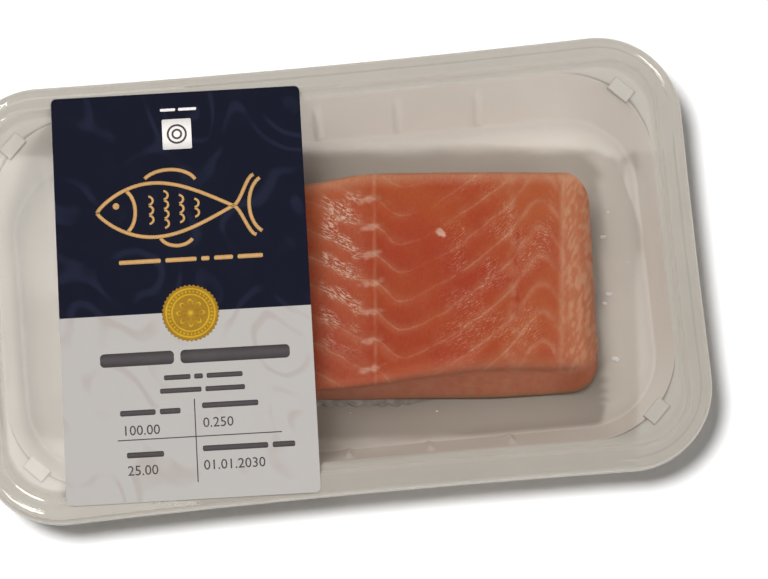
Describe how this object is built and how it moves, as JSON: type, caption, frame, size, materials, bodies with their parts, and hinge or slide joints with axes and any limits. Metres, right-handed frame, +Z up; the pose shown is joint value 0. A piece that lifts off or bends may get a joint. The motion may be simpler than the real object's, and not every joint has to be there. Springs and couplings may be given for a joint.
{
  "type": "pack of fresh salmon fillet",
  "caption": "Clear sealed tray holding one skin-on portion of raw salmon, with a clear film lid and a plain two-tone label across its left half.",
  "frame": {"origin": "on the base plane, below the middle of the tray", "axes": "+X along the tray's length, label end at -X; +Y across the tray, towards the label's upper edge; +Z up"},
  "size_m": [0.25, 0.151, 0.0411],
  "materials": {
    "tray_plastic": "clear moulded PET, slightly warm grey, glossy",
    "film": "thin clear sealing film, glossy",
    "label_paper": "satin coated paper, dark navy upper part and pale grey lower part with gold print",
    "salmon": "raw orange-pink salmon flesh with pale fat seams, moist",
    "fish_skin": "silvery grey scaled skin, wet"
  },
  "bodies": {
    "root": {"tray": "tray_plastic", "lid_film": "film", "label": "label_paper", "salmon_flesh": "salmon", "salmon_skin": "fish_skin"}
  },
  "joints": []
}
